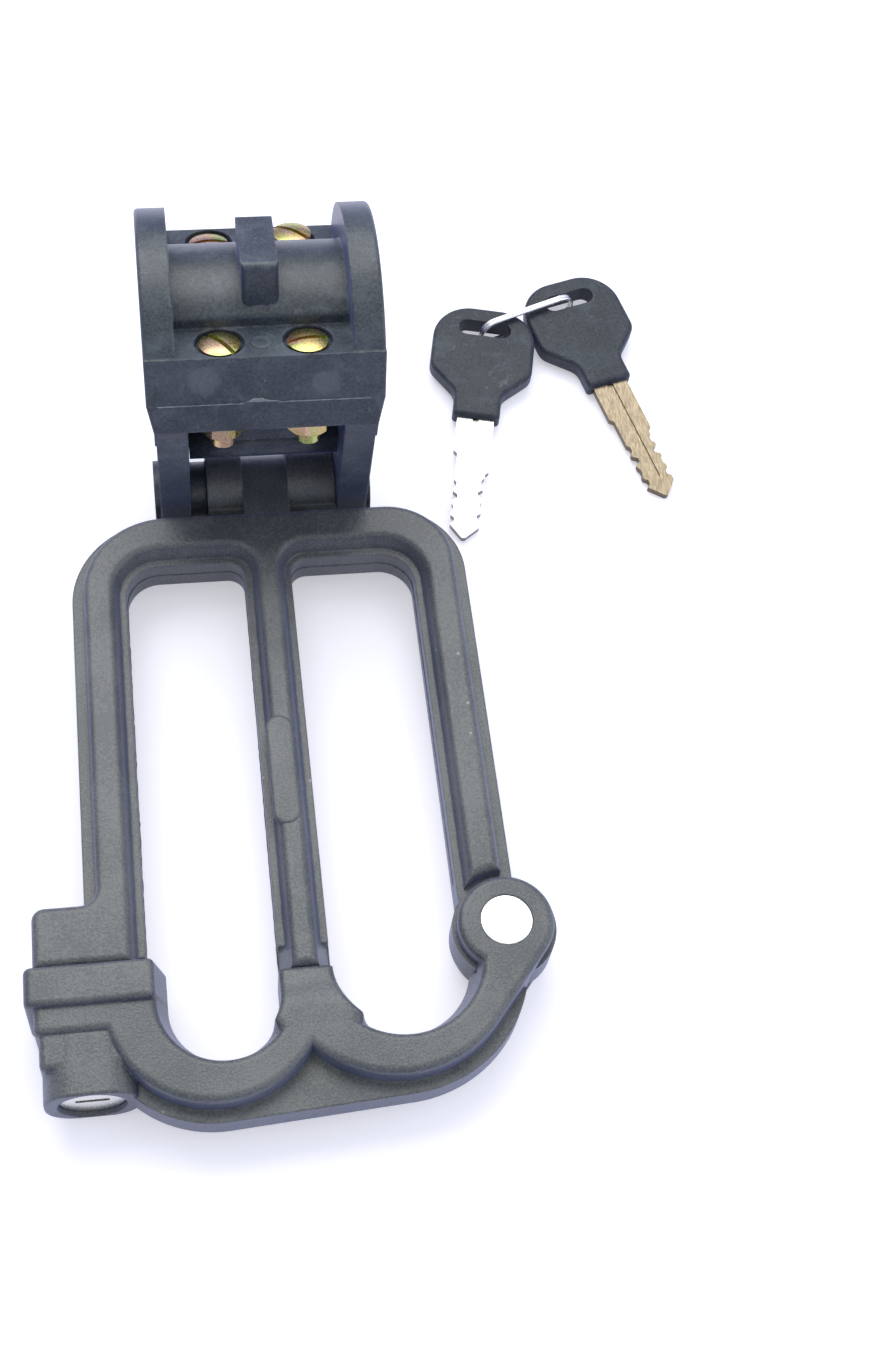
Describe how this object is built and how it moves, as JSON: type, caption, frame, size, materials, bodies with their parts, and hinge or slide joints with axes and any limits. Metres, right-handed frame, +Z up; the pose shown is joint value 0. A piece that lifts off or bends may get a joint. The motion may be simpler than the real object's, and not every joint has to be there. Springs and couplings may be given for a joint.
{
  "type": "motorcycle disc brake lock",
  "caption": "Black cast shackle with two long windows, a hinged key-locked gate, and a two-piece tube clamp on a cross pin, with two keys on a wire link.",
  "frame": {"origin": "middle of the clamp's bore", "axes": "+X along the clamp's bore, +Y from the key lock towards the clamp, +Z up from the surface that the lock lies on"},
  "size_m": [0.1849, 0.2507, 0.0916],
  "materials": {
    "casting": "satin black coating on a casting",
    "clamp_plastic": "moulded black plastic",
    "bright_steel": "bright",
    "dark_steel": "oiled",
    "brass": "machined",
    "zinc_yellow": "yellow passivated zinc",
    "key_plastic": "moulded black plastic",
    "key_nickel": "nickel plated"
  },
  "bodies": {
    "shackle": {"shackle_frame": "casting"},
    "gate": {"gate": "casting", "gate_rivet": "bright_steel", "lock_barrel": "dark_steel", "barrel_pin": "dark_steel"},
    "plug": {"lock_plug": "brass", "plug_cap": "bright_steel", "plug_wafers": "brass", "plug_clip": "dark_steel", "turn_bar": "dark_steel", "bar_screw": "zinc_yellow"},
    "clamp": {"clamp_cap": "clamp_plastic", "clamp_base": "clamp_plastic", "clamp_screws": "zinc_yellow", "clamp_nuts": "zinc_yellow", "hinge_pin": "dark_steel", "hinge_spacer": "clamp_plastic"},
    "keys": {"key_head_a": "key_plastic", "key_blade_a": "key_nickel", "key_head_b": "key_plastic", "key_blade_b": "key_nickel", "key_link": "bright_steel"}
  },
  "joints": [
    {"name": "gate_hinge", "type": "hinge", "parent": "shackle", "child": "gate", "pos_m": [0.0484, -0.15092, -0.04766], "axis": [0, 0, 1], "range_deg": [0, 110]},
    {"name": "plug_turn", "type": "hinge", "parent": "gate", "child": "plug", "pos_m": [-0.052, -0.16, -0.04766], "axis": [0, 1, 0], "range_deg": [0, 90]},
    {"name": "clamp_tilt", "type": "hinge", "parent": "shackle", "child": "clamp", "pos_m": [0, -0.01512, -0.04766], "axis": [1, 0, 0], "range_deg": [-158, 13]},
    {"name": "keys_lift", "type": "slide", "parent": "shackle", "child": "keys", "axis": [0, 0, 1], "range_m": [0, 0.06]}
  ]
}
